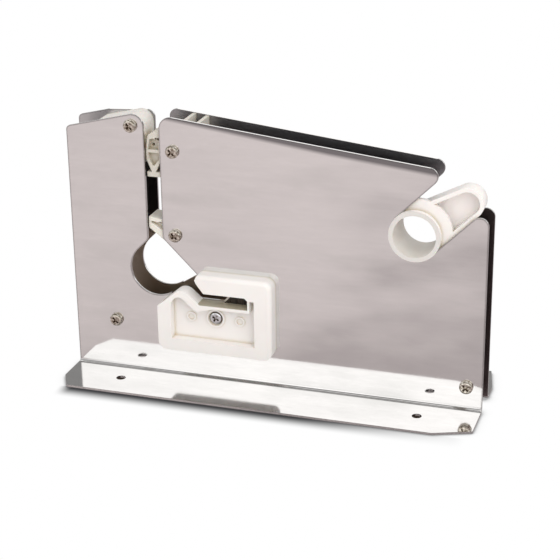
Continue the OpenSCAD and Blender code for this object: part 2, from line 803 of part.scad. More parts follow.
// Places in the trimmer are measured from the round opening's centre.
trimmer_dx = 2.7;
trimmer_top_dz = 2.1;
jaw_dz = -7.6;
lip_dz = jaw_dz - cut_slot_h;
cut_end_dx = 52.2;
trimmer_screw_at = [opening_x + trimmer_dx + trimmer_w / 2 - 0.6, opening_z + trimmer_top_dz - trimmer_h + 18.7];
trimmer_front = -face_y - trimmer_t;
recess_floor = trimmer_front + recess_depth;

module trimmer_outline() {
    x0 = opening_x + trimmer_dx;
    z1 = opening_z + trimmer_top_dz;
    r = trimmer_corner_r;
    translate([x0 + r, z1 - trimmer_h]) square([trimmer_w - 2 * r, trimmer_h]);
    translate([x0, z1 - trimmer_h + r]) square([trimmer_w, trimmer_h - 2 * r]);
    for (x = [x0 + r, x0 + trimmer_w - r]) for (z = [z1 - trimmer_h + r, z1 - r])
        translate([x, z]) circle(r);
}

// What rounding the front edge takes off, drawn with the body's side face on the Y axis.
module edge_waste() {
    b = trimmer_bevel;
    difference() {
        translate([-b, -1]) square([b + 1, b + 1]);
        translate([-b, b]) circle(b);
    }
}

// The rounding runs along the top, round the right corner and down the right side.
module trimmer_block() {
    r = trimmer_corner_r;
    c = [opening_x + trimmer_dx + trimmer_w - r, opening_z + trimmer_top_dz - r];
    difference() {
        slab(trimmer_front, -face_y) trimmer_outline();
        translate([c[0] + r, trimmer_front, c[1] - trimmer_h]) linear_extrude(trimmer_h) edge_waste();
        translate([c[0], trimmer_front, c[1] + r]) rotate([0, -90, 0]) linear_extrude(trimmer_w) edge_waste();
        translate([c[0], trimmer_front, c[1]]) rotate([-90, 0, 0]) rotate([0, 0, -90])
            rotate_extrude(angle = 90) translate([r, 0]) edge_waste();
    }
}

// The mouth and the cutting slot, open to the left of the body.
lobe_angle = 40;
lobe_fall = -41.5;
lobe_r = 5.5;
lobe_top = [16.4, -5.6];
nose_top = [24.1, trimmer_top_dz];
nose_tip = [23.7, -0.7];
nose_low = [28.4, jaw_dz];

module trimmer_mouth() {
    foot = lobe_top + (lip_dz - lobe_top[1]) / sin(lobe_fall) * dir(lobe_fall);
    left = trimmer_dx - 1;
    above = trimmer_top_dz + 5;
    translate([opening_x, opening_z]) {
        polygon([[left, above], [nose_top[0] + 2, above], nose_top + [2, 0], nose_top + [0.6, -0.5],
                 nose_top + [0, -1.8], nose_tip, nose_tip + [1, -2.1], nose_low,
                 [cut_end_dx - 1.5, jaw_dz], [cut_end_dx, jaw_dz - 1.5], [cut_end_dx, lip_dz],
                 foot, lobe_top,
                 [left, lobe_top[1] - (lobe_top[0] - left) * tan(lobe_angle)]]);
        corner_waste(lobe_top, 180 + lobe_angle, lobe_fall, lobe_r);
    }
}

// The recess follows the lobe and the lip above it at a few millimetres' distance.
module trimmer_recess() {
    left = trimmer_dx + 7.5;
    right = trimmer_dx + trimmer_w - rim_w;
    low = trimmer_top_dz - trimmer_h + rim_low_w;
    lip_low = lip_dz - 1.6;
    step_z = jaw_dz - 1.6;
    crest = [left + 4.3, lobe_top[1] - 5.3];
    foot = [lobe_top[0] + 8.4, lip_low - 2.3];
    translate([opening_x, opening_z])
        polygon([[left, low], [right, low], [right, step_z], [cut_end_dx + 1, step_z],
                 [cut_end_dx + 1, lip_low], foot + [8.3, 2.3], foot + [3.3, 1], foot, foot + [-2.2, 1.2],
                 crest + [2.2, -0.6], crest, crest + [-2.2, -1.1], [left, crest[1] - 3.5]]);
}

mark_r = 2.6;
mark_h = 0.8;
seat_depth = 1.2;

module trimmer_body() color(ivory) in_frame() {
    s = trimmer_screw_at;
    difference() {
        union() {
            difference() {
                trimmer_block();
                slab(trimmer_front - 1, -face_y + 1) trimmer_mouth();
                slab(trimmer_front - 1, recess_floor) trimmer_recess();
            }
            tube_along_y(s, head_d / 2 + 1.4, head_d / 2 + 0.6, recess_floor - mark_h, recess_floor + eps);
            for (side = [-1, 1])
                tube_along_y(s + [side * mark_pitch, -0.3], mark_r, mark_r - 0.8, recess_floor - mark_h,
                             recess_floor + eps);
        }
        bar(s, screw_hole_d / 2, trimmer_front - 1, -face_y + 1);
        bar(s, head_d / 2 + 0.2, trimmer_front - 1, recess_floor + seat_depth);
        slab(-face_y - blade_t - 0.1, -face_y + 1) blade_outline(0.15);
    }
}

// The blade lies against the front plate, and its leaning edge crosses the cutting slot.
blade_edge = [cut_end_dx - 13.1, jaw_dz - cut_slot_h / 2];
blade_tuck = 4;

module blade_outline(grow) {
    z1 = jaw_dz + blade_tuck + grow;
    z0 = lip_dz - blade_tuck - grow;
    x1 = cut_end_dx + 2 * blade_tuck + grow;
    function edge_x(z) = blade_edge[0] + (z - blade_edge[1]) / tan(blade_lean) - grow / sin(blade_lean);
    translate([opening_x, opening_z])
        polygon([[edge_x(z1), z1], [x1, z1], [x1, z0], [edge_x(z0), z0]]);
}

module trimmer_blade() color(dark_steel) in_frame()
    slab(-face_y - blade_t, -face_y) blade_outline(0);

module trimmer_screw() color(screw_steel) in_frame() {
    p = trimmer_screw_at;
    seat = recess_floor + seat_depth;
    translate([p[0], seat, p[1]]) rotate([0, 30, 0]) pan_head(head_d - 0.2, 1.9);
    bar(p, screw_d / 2, seat, -half_gap + nut_h + 0.6);
}

module trimmer_nut() color(screw_steel) in_frame() hex_nut(trimmer_screw_at, -half_gap);

front_plate();
rear_plate();
left_guide_block();
right_guide_block();
upper_gate();
upper_gate_sleeve();
upper_gate_spring();
lower_gate();
lower_gate_sleeve();
lower_gate_spring();
cutter_blade();
cutter_clamp();
cutter_screws();
guide_roller();
roller_pin();
left_spacer();
right_spacer();
plate_screws();
plate_nuts();
tape_holder();
trimmer_body();
trimmer_blade();
trimmer_screw();
trimmer_nut();
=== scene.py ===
import math

import bmesh
import bpy
from mathutils import Matrix, Vector


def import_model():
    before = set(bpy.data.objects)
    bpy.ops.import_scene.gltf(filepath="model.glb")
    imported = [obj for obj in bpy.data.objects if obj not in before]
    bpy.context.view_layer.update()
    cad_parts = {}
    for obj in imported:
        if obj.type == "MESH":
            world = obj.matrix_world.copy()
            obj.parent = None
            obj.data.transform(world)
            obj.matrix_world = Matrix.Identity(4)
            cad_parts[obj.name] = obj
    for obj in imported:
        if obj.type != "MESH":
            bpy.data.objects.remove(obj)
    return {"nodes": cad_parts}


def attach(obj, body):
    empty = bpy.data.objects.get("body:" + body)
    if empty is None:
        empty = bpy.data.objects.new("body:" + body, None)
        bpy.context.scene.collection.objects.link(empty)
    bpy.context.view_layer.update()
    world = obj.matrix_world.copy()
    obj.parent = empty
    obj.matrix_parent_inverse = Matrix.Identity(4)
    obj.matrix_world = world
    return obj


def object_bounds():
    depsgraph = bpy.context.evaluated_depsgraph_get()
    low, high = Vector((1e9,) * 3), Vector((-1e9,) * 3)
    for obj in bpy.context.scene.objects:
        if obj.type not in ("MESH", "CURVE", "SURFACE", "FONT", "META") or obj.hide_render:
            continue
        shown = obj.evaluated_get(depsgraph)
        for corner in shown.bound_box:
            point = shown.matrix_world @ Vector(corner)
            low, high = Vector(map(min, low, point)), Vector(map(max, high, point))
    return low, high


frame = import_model()
cad_low, cad_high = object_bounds()
nodes_by_name = frame["nodes"]

# Lengths are metres, in the row frame: x to the right, y to the back, z up. Tones are linear red, green
# and blue.
X, Y, Z = 0, 1, 2
ALONG_Y = (0.0, 1.0, 0.0)
UP = (0.0, 0.0, 1.0)

# The camera that the photograph was taken with.
CAMERA_AT = (0.2340, -0.7205, 0.3582)
CAMERA_TURN = math.radians(17.89)
CAMERA_TILT = math.radians(21.71)
CAMERA_ROLL = math.radians(-0.67)
CAMERA_CLIP = (0.01, 50.0)
LENS_MM = 101.83
SENSOR_MM = 36.0

# A face counts as square to a direction from this part of its normal on.
SQUARE = 0.9

# Most of a noise pattern lies between these two values.
NOISE_LOW = 0.3
NOISE_HIGH = 0.7


# ---------------------------------------------------------------- node trees

class Tree:
    """The node tree of a material or a world, built up node by node."""

    # How a range passes from low to high.
    easing = "SMOOTHSTEP"

    def __init__(self, owner):
        owner.use_nodes = True
        self.nodes = owner.node_tree.nodes
        self.links = owner.node_tree.links

    def add(self, kind, inputs=(), **settings):
        """Adds a node. Each input pairs a socket's name or number with a value or with a node's output."""
        node = self.nodes.new(kind)
        for key, value in settings.items():
            setattr(node, key, value)
        for key, value in inputs:
            if isinstance(value, bpy.types.NodeSocket):
                self.links.new(value, node.inputs[key])
            else:
                node.inputs[key].default_value = value
        return node

    def math(self, operation, *values):
        return self.add("ShaderNodeMath", enumerate(values), operation=operation).outputs[0]

    def times(self, first, *others):
        """Masks or numbers multiplied."""
        for other in others:
            first = self.math("MULTIPLY", first, other)
        return first

    def split(self, vector):
        """The x, y and z of a vector."""
        return tuple(self.add("ShaderNodeSeparateXYZ", ((0, vector),)).outputs)

    def ranged(self, value, start, end, low=0.0, high=1.0):
        """Low up to the start, high from the end on, and a passage between the two."""
        inputs = (("Value", value), ("From Min", start), ("From Max", end),
                  ("To Min", low), ("To Max", high))
        return self.add("ShaderNodeMapRange", inputs, interpolation_type=self.easing).outputs["Result"]

    def mixed(self, factor, first, second):
        """The first tone where the factor is 0, the second where it is 1."""
        first, second = [(*tone, 1.0) if isinstance(tone, tuple) else tone for tone in (first, second)]
        # A Mix node's colour sockets share their names with others, so they go by number.
        inputs = ((0, factor), (6, first), (7, second))
        return self.add("ShaderNodeMix", inputs, data_type="RGBA").outputs[2]

    def shaders(self, factor, first, second):
        return self.add("ShaderNodeMixShader", ((0, factor), (1, first), (2, second))).outputs[0]

    def by_ray(self, to_plastic, to_steel, to_camera):
        """One shader for diffuse rays, one for mirrored rays and one for the camera's own."""
        path = self.add("ShaderNodeLightPath").outputs
        others = self.shaders(path["Is Glossy Ray"], to_plastic, to_steel)
        return self.shaders(path["Is Camera Ray"], others, to_camera)


def bare_tree(owner):
    """The node tree of a new material or world, with its first nodes taken away."""
    tree = Tree(owner)
    tree.nodes.clear()
    return tree


class Surface(Tree):
    """A material of the object, with patterns and masks that lie in the object's frame."""

    easing = "LINEAR"

    def __init__(self, name, **settings):
        self.material = bpy.data.materials.new(name)
        super().__init__(self.material)
        self.principled = self.nodes["Principled BSDF"]
        self.place = self.add("ShaderNodeTexCoord").outputs["Object"]
        for key, value in settings.items():
            self.principled.inputs[key.replace("_", " ")].default_value = value

    def finish(self, key, value):
        self.links.new(value, self.principled.inputs[key])

    def noise(self, scale, detail=4.0, stretch=(1.0, 1.0, 1.0), rough=0.5):
        """Noise with its own number of patches to a metre along each axis: the scale times the stretch."""
        stretched = self.add("ShaderNodeMapping", (("Vector", self.place), ("Scale", stretch)))
        inputs = (("Vector", stretched.outputs["Vector"]), ("Scale", scale), ("Detail", detail),
                  ("Roughness", rough))
        return self.add("ShaderNodeTexNoise", inputs).outputs["Fac"]

    def spread(self, noise, low=0.0, high=1.0):
        """Noise carried over to run from low to high."""
        return self.ranged(noise, NOISE_LOW, NOISE_HIGH, low, high)

    def layer(self, colour, tone, most, start=NOISE_LOW, end=NOISE_HIGH, **pattern):
        """Lays a tone over a colour, up to its most, where a pattern's noise runs from start to end."""
        return self.mixed(self.ranged(self.noise(**pattern), start, end, 0.0, most), colour, tone)

    def dent(self, height, strength, distance):
        inputs = (("Height", height), ("Strength", strength), ("Distance", distance))
        self.finish("Normal", self.add("ShaderNodeBump", inputs).outputs["Normal"])

    def marks(self, low, high):
        """The fine marks of turned or ground steel, with a roughness that follows them, low to high."""
        marks = self.noise(scale=1500.0, detail=2.0, stretch=(1.0, 1.0, 0.2))
        self.finish("Roughness", self.spread(marks, low, high))
        return marks

    def less(self, mask):
        """The opposite of a mask."""
        return self.math("SUBTRACT", 1.0, mask)

    def axis(self, number):
        """The place along an axis."""
        return self.split(self.place)[number]

    def past(self, axis, place):
        """1 beyond a place along an axis."""
        return self.math("GREATER_THAN", self.axis(axis), place)

    def before(self, axis, place):
        """1 short of a place along an axis."""
        return self.math("LESS_THAN", self.axis(axis), place)

    def within(self, axis, middle, reach):
        """1 within reach of a place along an axis."""
        return self.times(self.past(axis, middle - reach), self.before(axis, middle + reach))

    def vectors(self, operation, first, second=(0.0, 0.0, 0.0)):
        return self.add("ShaderNodeVectorMath", ((0, first), (1, second)), operation=operation).outputs

    def dot(self, first, second):
        return self.vectors("DOT_PRODUCT", first, second)["Value"]

    def normal(self):
        return self.add("ShaderNodeNewGeometry").outputs["True Normal"]

    def facing(self, direction):
        """1 where the surface lies square to a direction."""
        return self.math("GREATER_THAN", self.math("ABSOLUTE", self.dot(self.normal(), direction)), SQUARE)

    def above(self, least):
        """1 where the surface looks upwards, with at least this part of its normal."""
        return self.math("GREATER_THAN", self.dot(self.normal(), UP), least)

    def openness(self, distance):
        """1 in the open, falling towards 0 in corners and recesses."""
        return self.add("ShaderNodeAmbientOcclusion", (("Distance", distance),), samples=8).outputs["AO"]

    def near_edge(self, radius, start, end):
        """0 on an open face, rising to 1 within the radius of a sharp edge."""
        rounded = self.add("ShaderNodeBevel", (("Radius", radius),), samples=6).outputs[0]
        return self.ranged(self.less(self.dot(rounded, self.normal())), start, end)


# ---------------------------------------------------------------- stainless sheet

# The plates: the sheet's thickness, the inner radius of its bend, half the gap between the two, and what
# is allowed at a face for the rounding of numbers.
SHEET_T = 0.0012
BEND_R = 0.0015
HALF_GAP = 0.0073
PLAY = 0.0001

# The tones of the sheet's clouds, and of the rolled streaks, smudges and specks on them.
STEEL_DARK = (0.815, 0.812, 0.81)
STEEL_LIGHT = (0.875, 0.87, 0.867)
STREAK_TONE = (0.765, 0.762, 0.760)
SMUDGE_TONE = (0.72, 0.722, 0.715)
SPECK_TONE = (0.76, 0.755, 0.75)

# The dark tone of the sheared edges, partly their duller cut and partly painted shade, and of the painted
# dark reflections on the bend and on a rim beside an edge; how much of it the edges, the bend and the rim
# take, the width of that rim, and how far the normal of a rounded edge has turned where the rim begins and
# is full.
EDGE_CUT_AND_SHADE_TONE = (0.125, 0.115, 0.112)
SHEARED_PART = 0.36
BEND_PART = 0.20
RIM_PART = 0.74
RIM_WIDTH = 0.0014
RIM_TURN = (0.004, 0.085)

# The walls of the bolt holes: the tone of their painted shade, how far out along x and y they are looked
# for, and how far from the sheet's faces they begin.
HOLE_SHADE_TONE = (0.06, 0.045, 0.035)
HOLES_X = 0.085
HOLES_Y = 0.0365
HOLE_EDGE = 0.00004

# The top edge of the front plate's right panel: the panel's top left corner, the upward normal of its top
# line, and the painted dark reflection in a band along it: its widths at two places along x, its fade, its
# most and its tone. Only the plate's front face lies before FRONT_BEFORE_Y.
TOP_SLOPE = math.radians(6.4)
TOP_CORNER = (-0.05905, 0.0, 0.142)
TOP_NORMAL = Vector((math.sin(TOP_SLOPE), 0.0, math.cos(TOP_SLOPE)))
TOP_REFLECTION_PLACES = (-0.055, 0.03)
TOP_REFLECTION_WIDTHS = (0.0003, 0.0022)
TOP_REFLECTION_FADE = 0.0020
TOP_REFLECTION_MOST = 0.84
TOP_REFLECTION_TONE = (0.125, 0.122, 0.13)
FRONT_BEFORE_Y = -HALF_GAP - 0.001

# The inner faces towards the gap: the tone of their painted shade low down, the tones that it turns to
# along an axis from start to end, how much of it there is at two places along x, and the roughness that the
# inner faces add to the grain's.
GAP_SHADE_TONE = (0.62, 0.51, 0.40)
GAP_SHADE_TURNS = ((Z, 0.068, 0.080, (0.035, 0.024, 0.018)),
               (Z, 0.105, 0.120, (0.33, 0.325, 0.34)),
               (X, 0.095, 0.104, (0.15, 0.11, 0.11)))
GAP_SHADE_PLACES = (-0.085, -0.072)
GAP_SHADE_PARTS = (0.40, 0.93)
INNER_ROUGHER = 0.25
GRAIN_ROUGH = (0.055, 0.095)

# The rear plate's corner between the round opening and the trimmer's nose: its outline (x, z), and its two
# faces in y, which lie just inside the plate's own.
CORNER_OUTLINE = ((-0.0557, 0.0461), (-0.0475, 0.0513), (-0.0468, 0.05155), (-0.0461, 0.0515),
                  (-0.0455, 0.0510), (-0.0407, 0.0450), (-0.0407, 0.0445), (-0.0557, 0.0445))
CORNER_SKIN = 0.00005
CORNER_FACES = (HALF_GAP + CORNER_SKIN, HALF_GAP + SHEET_T - CORNER_SKIN)


def edge_cut_and_shade(s, colour, upright):
    """Darkens the sheared edges, partly their duller cut and partly painted shade, paints shade on the
    walls of the bolt holes, and paints dark reflections on the bend and on a rim beside each edge.
    """
    level = s.times(s.facing(UP), s.before(Z, SHEET_T + PLAY))
    sides = s.times(s.less(upright), s.less(level))
    bend = s.times(sides, s.past(Z, SHEET_T + PLAY), s.before(Z, SHEET_T + BEND_R))
    sheared = s.times(sides, s.less(bend), s.less(s.above(least=0.4)))
    around_holes = s.times(s.within(X, 0.0, HOLES_X), s.within(Y, 0.0, HOLES_Y))
    holes = s.times(sheared, around_holes, s.within(Z, SHEET_T / 2, SHEET_T / 2 - HOLE_EDGE))
    rim = s.times(s.near_edge(RIM_WIDTH, *RIM_TURN), upright)
    # Painted shade and dark reflections: on the sheared edges with their duller cut, on the bend and on the
    # rims.
    colour = s.mixed(s.times(sheared, SHEARED_PART), colour, EDGE_CUT_AND_SHADE_TONE)
    colour = s.mixed(s.times(bend, BEND_PART), colour, EDGE_CUT_AND_SHADE_TONE)
    # Painted shade on the walls of the bolt holes.
    colour = s.mixed(holes, colour, HOLE_SHADE_TONE)
    return s.mixed(s.times(rim, RIM_PART), colour, EDGE_CUT_AND_SHADE_TONE)


def top_edge_dark_reflection(s, colour, upright):
    """Paints a dark reflection in a band along the top edge of the front plate's right panel."""
    below = s.math("SUBTRACT", TOP_NORMAL.dot(Vector(TOP_CORNER)), s.dot(s.place, TOP_NORMAL))
    width = s.ranged(s.axis(X), *TOP_REFLECTION_PLACES, *TOP_REFLECTION_WIDTHS)
    # Painted dark reflection in a band along the top edge.
    band = s.ranged(s.math("SUBTRACT", below, width), 0.0, TOP_REFLECTION_FADE, TOP_REFLECTION_MOST, 0.0)
    panel = s.times(upright, s.before(Y, FRONT_BEFORE_Y), s.past(X, TOP_CORNER[X]))
    return s.mixed(s.times(band, panel), colour, TOP_REFLECTION_TONE)


def painted_gap_shade(s, colour, inner):
    """Paints shade on the faces towards the gap, with a tone that changes from place to place."""
    dull = GAP_SHADE_TONE
    # Painted shade whose tone turns along the axes.
    for axis, start, end, tone in GAP_SHADE_TURNS:
        dull = s.mixed(s.ranged(s.axis(axis), start, end), dull, tone)
    part = s.ranged(s.axis(X), *GAP_SHADE_PLACES, *GAP_SHADE_PARTS)
    return s.mixed(s.times(inner, part), colour, dull)


def sheet_steel():
    """Bright rolled stainless sheet: nearly a mirror, with clouds, streaks, smudges and fine grain."""
    s = Surface("sheet_steel", Metallic=1.0, IOR=2.4)
    clouds = s.noise(scale=16.0, detail=3.0, stretch=(1.0, 1.0, 2.2))
    colour = s.mixed(s.spread(clouds), STEEL_DARK, STEEL_LIGHT)
    colour = s.layer(colour, STREAK_TONE, most=0.7, scale=90.0, stretch=(0.3, 1.0, 2.4), rough=0.65)
    colour = s.layer(colour, SMUDGE_TONE, most=0.75, start=0.52, end=0.72,
                     scale=38.0, detail=5.0, stretch=(0.6, 1.0, 2.0), rough=0.6)
    colour = s.layer(colour, SPECK_TONE, most=0.3, scale=700.0, detail=2.0, stretch=(0.2, 1.0, 1.0))
    upright = s.facing(ALONG_Y)
    inner = s.times(upright, s.within(Y, 0.0, HALF_GAP + 2 * PLAY))
    colour = edge_cut_and_shade(s, colour, upright)
    colour = top_edge_dark_reflection(s, colour, upright)
    s.finish("Base Color", painted_gap_shade(s, colour, inner))
    grain = s.noise(scale=900.0, detail=2.0, stretch=(0.06, 1.0, 1.6))
    s.finish("Roughness", s.math("MULTIPLY_ADD", inner, INNER_ROUGHER, s.spread(grain, *GRAIN_ROUGH)))
    s.dent(grain, strength=0.05, distance=0.00002)
    return s.material


def rear_plate_corner(material):
    """The corner of the rear plate that guides a bag's tail towards the trimmer's slot."""
    form = bmesh.new()
    front, back = [[form.verts.new((x, y, z)) for x, z in CORNER_OUTLINE] for y in CORNER_FACES]
    form.faces.new(front)
    form.faces.new(back)
    for start in range(len(front)):
        form.faces.new((front[start - 1], front[start], back[start], back[start - 1]))
    bmesh.ops.recalc_face_normals(form, faces=form.faces)
    mesh = bpy.data.meshes.new("rear_plate_corner")
    form.to_mesh(mesh)
    form.free()
    mesh.materials.append(material)
    piece = bpy.data.objects.new("rear_plate_corner", mesh)
    bpy.context.collection.objects.link(piece)
    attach(piece, "frame")


# ---------------------------------------------------------------- moulded plastic

# The painted shade in a moulding's corners and recesses: its tone, and how open a place is where it is full
# and where it ends.
PAINTED_CORNER_SHADE = (0.66, 0.59, 0.47)
CORNER_OPEN = (0.3, 0.92)

# How far the scuffs of a moulding take its roughness down and up.
SCUFFS = (-0.05, 0.09)

# The tape holder's tube: its axis (x, z), its bore with the fade, the most and the tone of the painted
# shade in it, and its flat front ring with its outer radius, the y that it lies before, and how much of its
# painted shade it takes.
HOLDER_AXIS = (0.074, 0.0916)
BORE_R = 0.0112
BORE_FADE = 0.0004
BORE_SHADE_MOST = 0.52
BORE_SHADE_TONE = (0.50, 0.47, 0.41)
RING_R = 0.0136
RING_Y = -0.0111
RING_SHADE_PART = 0.55
RING_SHADE_TONE = (0.52, 0.50, 0.475)

# The floor of the tape holder's tray in y, with the tone of its painted light, and the trimmer's lower lip
# in z and along x, with the tone of the painted shade on its top.
TRAY_Y = 0.0004
TRAY_REACH = 0.0005
TRAY_LIGHT_TONE = (0.965, 0.92, 0.90)
LIP_Z = 0.0447
LIP_REACH = 0.0008
LIP_MIDDLE_X = -0.03
LIP_HALF_LENGTH = 0.03
LIP_SHADE_TONE = (0.42, 0.38, 0.285)


def painted_shade_and_tray_light(s, colour):
    """Painted shade in the holder's bore, on its ring and on the trimmer's lower lip, and painted light on
    the tray.
    """
    apart = s.vectors("SUBTRACT", s.place, (HOLDER_AXIS[0], 0.0, HOLDER_AXIS[1]))["Vector"]
    flat = s.vectors("MULTIPLY", apart, (1.0, 0.0, 1.0))["Vector"]
    radius = s.vectors("LENGTH", flat)["Value"]
    bore = s.ranged(radius, BORE_R - BORE_FADE, BORE_R, BORE_SHADE_MOST, 0.0)
    ring = s.times(s.math("LESS_THAN", radius, RING_R), s.before(Y, RING_Y), s.less(bore))
    tray = s.times(s.facing(ALONG_Y), s.within(Y, TRAY_Y, TRAY_REACH))
    lip_top = s.times(s.above(least=0.7), s.within(Z, LIP_Z, LIP_REACH))
    lip = s.times(lip_top, s.within(X, LIP_MIDDLE_X, LIP_HALF_LENGTH))
    # Painted shade in the bore and on the front ring.
    colour = s.mixed(bore, colour, BORE_SHADE_TONE)
    colour = s.mixed(s.times(ring, RING_SHADE_PART), colour, RING_SHADE_TONE)
    # Painted light on the tray's floor, painted shade on the lip's top.
    colour = s.mixed(tray, colour, TRAY_LIGHT_TONE)
    return s.mixed(lip, colour, LIP_SHADE_TONE)


def white_moulding(name, first, second, rough, corner=0.0035, shade=PAINTED_CORNER_SHADE, details=None):
    """Injection moulded plastic: ivory, mottled, with painted shade in its corners and a scuffed satin
    skin.
    """
    s = Surface(name, Subsurface_Weight=0.06, Subsurface_Scale=0.002, IOR=1.49)
    colour = s.mixed(s.spread(s.noise(scale=35.0)), first, second)
    # Painted shade in corners and recesses.
    colour = s.mixed(s.ranged(s.openness(corner), *CORNER_OPEN), shade, colour)
    if details:
        colour = details(s, colour)
    s.finish("Base Color", colour)
    scuffs = s.noise(scale=420.0, detail=3.0, stretch=(1.0, 1.0, 0.35))
    s.finish("Roughness", s.spread(scuffs, rough + SCUFFS[0], rough + SCUFFS[1]))
    s.dent(s.noise(scale=2600.0, detail=2.0), strength=0.12, distance=0.00003)
    return s.material


# ---------------------------------------------------------------- screws, blades and small steel parts

# The screws: where the noise of their dark and bright patches, painted glints and dark reflections, starts
# and is full, and the painted shade in their drives and round their heads: its tone, its reach, and how
# open a place is where it is full and where it ends.
GLINT_PATCHES = (0.36, 0.66)
RECESS_SHADE_TONE = (0.12, 0.085, 0.055)
RECESS_SHADE_REACH = 0.0011
RECESS_SHADE_OPEN = (0.5, 0.95)

# How far the fine marks of small steel parts dent them, and a screw's roughness between marks and on them.
MARK_STRENGTH = 0.08
MARK_DEPTH = 0.00002
SCREW_ROUGH = (0.07, 0.14)

# The trimmer blade: a point on its ground edge, that edge's lean and width, the tones between its marks and
# on them, dark for painted shade and bright for the ground edge with a painted highlight, and its roughness
# there.
BLADE_EDGE_AT = (-0.0241, -0.009, 0.0480)
BLADE_LEAN = math.radians(47.0)
BLADE_GROUND = 0.0009
BLADE_SHADE = ((0.05, 0.042, 0.038), (0.10, 0.088, 0.08))
BLADE_BRIGHT = ((0.72, 0.70, 0.68), (0.84, 0.82, 0.80))
BLADE_ROUGH = (0.22, 0.36)


def screw_steel(name, first, second):
    """Plated screws: glossy, with painted glints in patches and painted shade in the drive recess and round
    the head.
    """
    s = Surface(name, Metallic=1.0)
    patches = s.noise(scale=850.0, detail=2.0)
    # Dark and bright patches are painted glints and dark reflections; then painted shade in the drive and
    # round the head.
    colour = s.mixed(s.ranged(patches, *GLINT_PATCHES), first, second)
    s.finish("Base Color", s.mixed(s.ranged(s.openness(RECESS_SHADE_REACH), *RECESS_SHADE_OPEN), RECESS_SHADE_TONE, colour))
    s.dent(s.marks(*SCREW_ROUGH), MARK_STRENGTH, MARK_DEPTH)
    return s.material


def turned_metal(name, first, second, rough):
    """Small steel parts: ground or plated, with fine marks."""
    s = Surface(name, Metallic=1.0)
    s.finish("Base Color", s.mixed(s.spread(s.noise(scale=240.0, detail=3.0)), first, second))
    s.dent(s.marks(*rough), MARK_STRENGTH, MARK_DEPTH)
    return s.material


def trimmer_blade_steel():
    """A strip painted dark as shade, whose leaning ground edge is bright and carries a painted highlight.
    """
    s = Surface("trimmer_blade_steel", Metallic=1.0)
    inwards = Vector((math.sin(BLADE_LEAN), 0.0, -math.cos(BLADE_LEAN)))
    depth = s.math("SUBTRACT", s.dot(s.place, inwards), inwards.dot(Vector(BLADE_EDGE_AT)))
    marks = s.spread(s.marks(*BLADE_ROUGH))
    ground = s.math("LESS_THAN", depth, BLADE_GROUND)
    # Painted shade on the strip; the ground edge bright, with a painted highlight.
    s.finish("Base Color", s.mixed(ground, s.mixed(marks, *BLADE_SHADE), s.mixed(marks, *BLADE_BRIGHT)))
    return s.material


# ---------------------------------------------------------------- the object

PLATES = ("front_plate", "rear_plate")
OUTER_MOULDINGS = ("trimmer_body", "tape_holder")
INNER_MOULDINGS = ("right_guide_block", "upper_gate", "guide_roller")
LOWER_MOULDINGS = ("lower_gate",)
LEFT_MOULDINGS = ("left_guide_block",)
SCREWS = ("plate_screws", "plate_nuts", "cutter_screws")
TRIMMER_SCREWS = ("trimmer_screw", "trimmer_nut")
TURNED = ("left_spacer", "right_spacer", "upper_gate_sleeve", "lower_gate_sleeve", "roller_pin",
          "cutter_clamp")
CUTTER_BLADES = ("cutter_blade",)
TRIMMER_BLADES = ("trimmer_blade",)
SPRINGS = ("upper_gate_spring", "lower_gate_spring")

# The rounding of edges: its width on sheet and inner mouldings, its width and steps on the outer ones, the
# angle from which an edge counts as sharp, and how close together points are merged.
EDGE_WIDTH = 0.0003
OUTER_EDGE_WIDTH = 0.00045
OUTER_EDGE_STEPS = 3
SHARP = math.radians(35.0)
WELD = 0.000002


def dress(names, material):
    for name in names:
        mesh = nodes_by_name[name].data
        mesh.materials.clear()
        mesh.materials.append(material)


def soften(names, width, steps=2):
    """Rounds the edges of CAD nodes a little, as bending, moulding or polishing leaves them."""
    for name in names:
        weld = nodes_by_name[name].modifiers.new("weld", "WELD")
        weld.merge_threshold = WELD
        bevel = nodes_by_name[name].modifiers.new("edges", "BEVEL")
        bevel.width = width
        bevel.segments = steps
        bevel.limit_method = "ANGLE"
        bevel.angle_limit = SHARP
        bevel.use_clamp_overlap = True
        bevel.harden_normals = True


steel = sheet_steel()
dress(PLATES, steel)
rear_plate_corner(steel)
# The inner, lower and left mouldings are the outer ones' ivory plastic in darker copies: partly a more
# beige plastic and partly painted shade, as they lie between the plates.
dress(INNER_MOULDINGS, white_moulding(
    "inner_moulding", first=(0.58, 0.545, 0.485), second=(0.66, 0.63, 0.57), rough=0.42, corner=0.003,
    shade=(0.44, 0.38, 0.28)))
dress(LOWER_MOULDINGS, white_moulding(
    "lower_moulding", first=(0.76, 0.73, 0.66), second=(0.82, 0.79, 0.73), rough=0.42, corner=0.002))
dress(LEFT_MOULDINGS, white_moulding(
    "left_moulding", first=(0.70, 0.675, 0.64), second=(0.77, 0.745, 0.71), rough=0.40))
dress(OUTER_MOULDINGS, white_moulding(
    "outer_moulding", first=(0.835, 0.805, 0.785), second=(0.865, 0.84, 0.82), rough=0.38, corner=0.0022,
    details=painted_shade_and_tray_light))
dress(SCREWS, screw_steel(
    "plated_screws", first=(0.26, 0.22, 0.17), second=(0.86, 0.81, 0.73)))
dress(TRIMMER_SCREWS, screw_steel(
    "zinc_screw", first=(0.56, 0.58, 0.60), second=(0.82, 0.84, 0.86)))
dress(TURNED, turned_metal(
    "turned_steel", first=(0.56, 0.55, 0.54), second=(0.66, 0.65, 0.64), rough=(0.22, 0.36)))
dress(CUTTER_BLADES, turned_metal(
    "blade_steel", first=(0.40, 0.38, 0.36), second=(0.52, 0.50, 0.48), rough=(0.20, 0.34)))
dress(TRIMMER_BLADES, trimmer_blade_steel())
dress(SPRINGS, turned_metal(
    "spring_wire", first=(0.36, 0.35, 0.34), second=(0.46, 0.45, 0.44), rough=(0.24, 0.36)))

